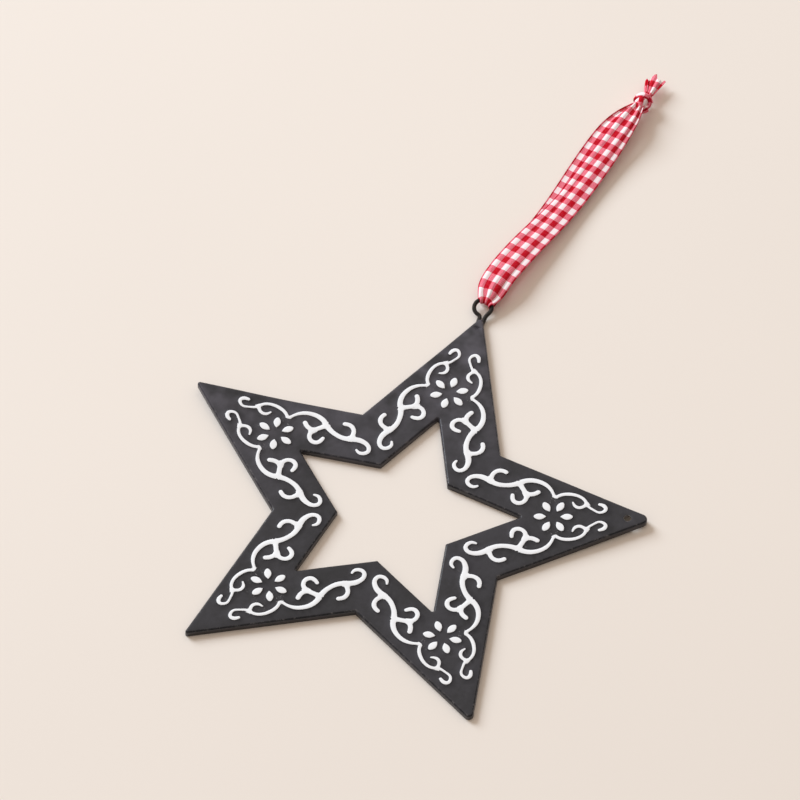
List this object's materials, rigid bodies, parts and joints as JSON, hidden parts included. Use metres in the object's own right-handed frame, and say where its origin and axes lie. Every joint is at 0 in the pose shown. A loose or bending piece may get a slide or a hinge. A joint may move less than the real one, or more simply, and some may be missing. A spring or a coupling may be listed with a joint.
{
  "type": "hanging star ornament",
  "caption": "Black pressed-tin star with an open middle, white enamelled scrolls and flowers, a wire eye and a knotted gingham ribbon to hang it by.",
  "frame": {"origin": "on the floor under the middle of the box around the star and its wire eye, the ribbon left out", "axes": "+Z out of the star's face, +Y up the arm that carries the eye, +X to the right as seen on the face"},
  "size_m": [0.1544, 0.2619, 0.0062],
  "materials": {
    "black_tin": "satin black paint over pressed tin plate, slightly mottled",
    "white_enamel": "hand-laid white enamel on the raised lines, softly glossy",
    "black_wire": "dark annealed wire under black paint, worn at the bends",
    "solder": "dull grey solder",
    "gingham_ribbon": "woven red and white gingham ribbon with a red selvage"
  },
  "bodies": {
    "star": {"star_shell": "black_tin", "scroll_1_right": "white_enamel", "scroll_1_left": "white_enamel", "scroll_2_right": "white_enamel", "scroll_2_left": "white_enamel", "scroll_3_right": "white_enamel", "scroll_3_left": "white_enamel", "scroll_4_right": "white_enamel", "scroll_4_left": "white_enamel", "scroll_5_right": "white_enamel", "scroll_5_left": "white_enamel", "flower_1": "white_enamel", "flower_2": "white_enamel", "flower_3": "white_enamel", "flower_4": "white_enamel", "flower_5": "white_enamel", "eye_wire": "black_wire", "eye_solder": "solder"},
    "ribbon": {"ribbon_loop": "gingham_ribbon", "ribbon_knot": "gingham_ribbon", "ribbon_tail_left": "gingham_ribbon", "ribbon_tail_right": "gingham_ribbon"}
  },
  "joints": [
    {"name": "ribbon_swing", "type": "hinge", "parent": "star", "child": "ribbon", "pos_m": [0.00039, 0.07736, 0.00255], "axis": [0.9744, -0.225, 0], "range_deg": [-120, 140]}
  ]
}
